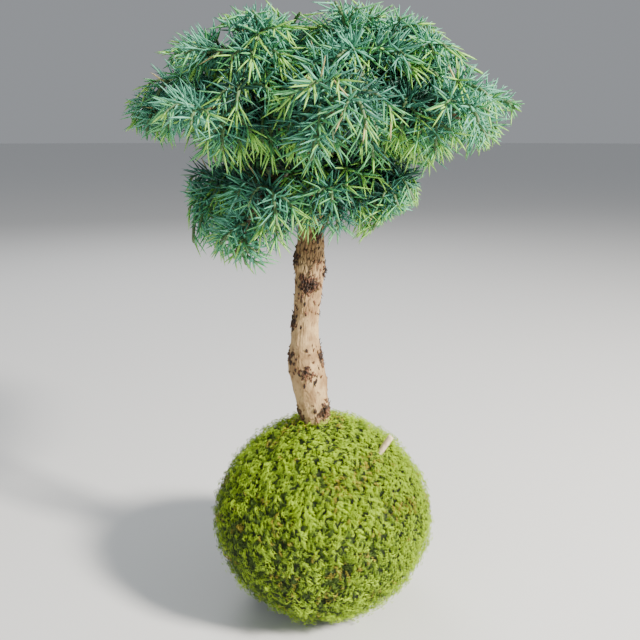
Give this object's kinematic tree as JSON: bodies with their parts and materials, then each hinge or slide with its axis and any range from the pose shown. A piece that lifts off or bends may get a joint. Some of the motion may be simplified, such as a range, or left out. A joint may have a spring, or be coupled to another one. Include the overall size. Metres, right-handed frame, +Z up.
{
  "type": "kokedama conifer",
  "caption": "Young hoop pine kokedama: a short bare trunk that stands in a round, mossy root ball and carries a spreading crown of drooping needle sprays, with a small wooden peg.",
  "frame": {"origin": "centre of the root ball's flat underside", "axes": "+Z up the plant, -Y towards its front, +X to its right as seen from the front"},
  "size_m": [0.266, 0.2464, 0.4487],
  "materials": {
    "moss": "matte sheet moss, feathery, yellow-green to olive",
    "bark": "rough flaking bark, tan to grey-brown",
    "bough_bark": "thin rough bark, reddish brown",
    "needles": "satin needles, blue-green, yellow-green when young",
    "peg_wood": "plain pale wood, unvarnished"
  },
  "bodies": {
    "root": {"root_ball": "moss", "trunk": "bark", "peg": "peg_wood", "bough_right": "bough_bark", "bough_right_front": "bough_bark", "bough_front": "bough_bark", "bough_left_front": "bough_bark", "bough_left": "bough_bark", "bough_left_back": "bough_bark", "bough_back": "bough_bark", "bough_right_back": "bough_bark", "bough_upper_right": "bough_bark", "bough_upper_front": "bough_bark", "bough_upper_left_front": "bough_bark", "bough_upper_left": "bough_bark", "bough_upper_back": "bough_bark", "bough_upper_right_back": "bough_bark", "bough_low_left": "bough_bark", "bough_low_left_front": "bough_bark", "bough_low_front": "bough_bark", "bough_low_right_front": "bough_bark", "bough_low_right_back": "bough_bark", "bough_low_back": "bough_bark", "bough_low_left_back": "bough_bark", "foliage_right": "needles", "foliage_right_front": "needles", "foliage_front": "needles", "foliage_left_front": "needles", "foliage_left": "needles", "foliage_left_back": "needles", "foliage_back": "needles", "foliage_right_back": "needles", "foliage_upper_right": "needles", "foliage_upper_front": "needles", "foliage_upper_left_front": "needles", "foliage_upper_left": "needles", "foliage_upper_back": "needles", "foliage_upper_right_back": "needles", "foliage_low_left": "needles", "foliage_low_left_front": "needles", "foliage_low_front": "needles", "foliage_low_right_front": "needles", "foliage_low_right_back": "needles", "foliage_low_back": "needles", "foliage_low_left_back": "needles", "foliage_top_right": "needles", "foliage_top_left": "needles"}
  },
  "joints": []
}
